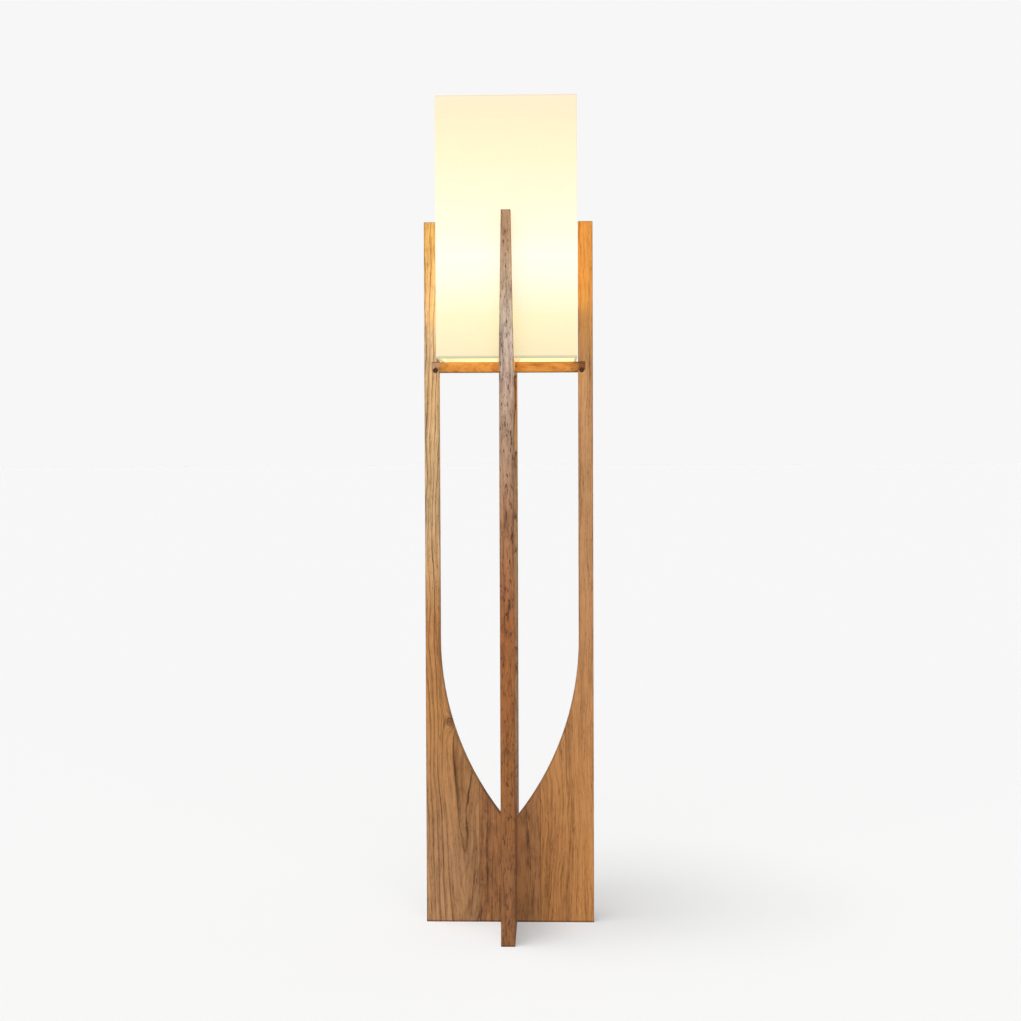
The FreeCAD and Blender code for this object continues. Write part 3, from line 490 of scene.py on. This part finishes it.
YARN = 0.0009
material, place = new_finish("shade linen")
facing = place.facing()
height = place.part("Z")
level = height - bulb_middle
wide = abs(facing.part("Y")) * place.part("X") + abs(facing.part("X")) * place.part("Y")
threads = (wide * (math.tau / YARN)).maths("SINE") * (height * (math.tau / YARN)).maths("SINE")
slub_across = place.along("MULTIPLY", (0.04, 0.04, 1.0)).cloud(900.0, 2.0)
slub_upright = place.along("MULTIPLY", (1.0, 1.0, 0.04)).cloud(900.0, 2.0)
slub = slub_across + slub_upright
weave = (slub * 0.5).between(0.35, 0.65)
rolled = 1.0 - height.between(shade_low.z + 0.0025, shade_low.z + 0.0045)
rolled_top = height.between(shade_high.z - 0.004, shade_high.z - 0.0025)
lit = level.ramp(
    (-0.13, colour(214, 196, 150)), (-0.085, colour(219, 208, 160)), (-0.035, colour(224, 221, 195)),
    (0.0, colour(226, 226, 208)), (0.035, colour(224, 222, 193)), (0.085, colour(222, 214, 180)),
    (0.15, colour(221, 206, 164)), (0.243, colour(217, 190, 155)),
)
lit = (rolled * 0.6).mixed(lit, colour(123, 134, 103))
lit = (rolled_top * 0.5).mixed(lit, colour(146, 154, 168))
close_finish(
    material, place, Base_Color=weave.mixed(colour(156, 151, 136), colour(151, 146, 131)), Roughness=0.75,
    Specular_IOR_Level=0.2, Emission_Color=lit, Emission_Strength=1.0,
    Normal=(threads * 0.5 + slub).bump(0.00004),
)
sheet_mesh.materials.append(material)

# --------------------------------------------------------------------------------- the floor and lights
# A plain pale floor that runs out of sight into a backdrop of the same tone. One soft light high on the
# left throws the lamp's short shadow to the right, and a broad light from the front fills it.

PAPER = colour(247, 247, 247)
FLOOR_PAINT = 0.38
FLOOR_LIGHT = 0.347
FLOOR_REACH = 60
SKY_LIGHT = 0.42
floor_corners = [(x * FLOOR_REACH, y * FLOOR_REACH, 0) for x, y in ((-1, -1), (1, -1), (1, 1), (-1, 1))]
floor_mesh = bpy.data.meshes.new("floor")
floor_mesh.from_pydata(floor_corners, [], [(0, 1, 2, 3)])
floor = bpy.data.objects.new("floor", floor_mesh)
bpy.context.scene.collection.objects.link(floor)


def shown(place):
    """1 for rays that show a thing to the camera, also by way of gloss or glass, and 0 for light."""
    straight = place.node("ShaderNodeLightPath", {}, {}, "Is Camera Ray")
    glossy = place.node("ShaderNodeLightPath", {}, {}, "Is Glossy Ray")
    passing = place.node("ShaderNodeLightPath", {}, {}, "Is Transmission Ray")
    return straight.maths("MAXIMUM", glossy).maths("MAXIMUM", passing)


material, place = new_finish("floor paint")
painted = place.node("ShaderNodeBsdfDiffuse", {}, {"Color": (FLOOR_PAINT, FLOOR_PAINT, FLOOR_PAINT, 1.0)})
pale = place.node("ShaderNodeEmission", {}, {"Color": PAPER, "Strength": shown(place) * FLOOR_LIGHT})
both = place.node("ShaderNodeAddShader", {}, {0: painted, 1: pale})
both.node("ShaderNodeOutputMaterial", {}, {"Surface": both})
floor_mesh.materials.append(material)

world = bpy.data.worlds.new("studio")
bpy.context.scene.world = world
world.use_nodes = True
world.node_tree.nodes.clear()
sky = Flow(world.node_tree.nodes.new("ShaderNodeTexCoord").outputs["Generated"])
even = sky.node("ShaderNodeBackground", {}, {"Color": (1.0, 1.0, 1.0, 1.0), "Strength": SKY_LIGHT})
paper = sky.node("ShaderNodeBackground", {}, {"Color": PAPER, "Strength": 1.0})
whole = sky.node("ShaderNodeMixShader", {}, {0: shown(sky), 1: even, 2: paper})
whole.node("ShaderNodeOutputWorld", {}, {"Surface": whole})


def make_sun(name, azimuth, elevation, strength, softness):
    """A distant soft light, its angles in degrees. Azimuth 0 shines from the front, 90 from the left."""
    lamp = bpy.data.lights.new(name, "SUN")
    lamp.energy = strength
    lamp.angle = math.radians(softness)
    thing = bpy.data.objects.new(name, lamp)
    thing.rotation_euler = (math.radians(90 - elevation), 0.0, -math.radians(azimuth))
    bpy.context.scene.collection.objects.link(thing)


make_sun("left light", 62, 78, 3.0, 24)
make_sun("front light", 4, 22, 2.0, 80)

# ---------------------------------------------------------------------------------- the shade's warm glow
# Soft lamps stand in for the light that comes through the linen. One outside each wall shines on the fins
# beside it, and one inside each wall shines across onto the bars. They ride with the shade.

OUTER_GLOW = (1.0, 0.7, 0.1)
OUTER_RADIANCE = 1.6
OUTER_WIDTH = 0.19
INNER_GLOW = (1.0, 0.76, 0.36)
INNER_RADIANCE = 2.4
INNER_WIDTH = 0.18
INNER_TALL = 0.14
INNER_RISE = 0.09


def make_glow(name, glow, across, tall, middle, way, radiance):
    """A soft lamp of an even radiance, across by tall metres, that shines one way."""
    lamp = bpy.data.lights.new(name, "AREA")
    lamp.shape = "RECTANGLE"
    lamp.size, lamp.size_y = across, tall
    lamp.color = glow
    lamp.energy = radiance * math.pi * across * tall
    thing = bpy.data.objects.new(name, lamp)
    thing.location = middle
    thing.rotation_euler = way.to_track_quat("-Z", "Z").to_euler()
    thing.visible_camera = False
    bpy.context.scene.collection.objects.link(thing)
    thing.parent = frame["bodies"]["shade"]


# For each wall: the way it faces in degrees, how tall its glow is and how far above the globe's middle.
for side, turn, tall, above in (
    ("right", 0, 0.14, 0.03), ("back", 90, 0.2, 0), ("left", 180, 0.18, 0.01), ("front", 270, 0.2, 0),
):
    way = Vector((math.cos(math.radians(turn)), math.sin(math.radians(turn)), 0.0))
    wall = way * shade_high.x
    outside = wall * 1.008 + Vector((0, 0, bulb_middle + above))
    inside = wall * 0.95 + Vector((0, 0, shade_low.z + INNER_RISE))
    make_glow(f"{side} wall glow", OUTER_GLOW, OUTER_WIDTH, tall, outside, way, OUTER_RADIANCE)
    make_glow(f"{side} inner glow", INNER_GLOW, INNER_WIDTH, INNER_TALL, inside, -way, INNER_RADIANCE)

# --------------------------------------------------------------------------------------------- the camera
# It stands 2.27 m from the lamp, a little above its middle and a hand's breadth to the right of its
# centre line, and is turned back towards it. The focal length and the width are in pixels of the picture.

FOCAL_LENGTH = 1535.1
PICTURE_WIDTH = 1021
camera_data = bpy.data.cameras.new("camera")
camera_data.sensor_width = 36.0
camera_data.lens = FOCAL_LENGTH / PICTURE_WIDTH * camera_data.sensor_width
camera_data.shift_x = 0.0014
camera_data.shift_y = -0.025
camera_data.clip_end = 200.0
camera = bpy.data.objects.new("camera", camera_data)
bpy.context.scene.collection.objects.link(camera)
bpy.context.scene.camera = camera
swing, pitch, roll = (math.radians(angle) for angle in (1.67, -1.379, -0.205))
distance, eye_height = 2.2702, 0.7025
camera.matrix_world = (
    Matrix.Translation((distance * math.sin(swing), -distance * math.cos(swing), eye_height))
    @ Matrix.Rotation(swing, 4, "Z")
    @ Matrix.Rotation(math.pi / 2 + pitch, 4, "X")
    @ Matrix.Rotation(roll, 4, "Z")
)

bpy.context.scene.view_settings.view_transform = "Standard"
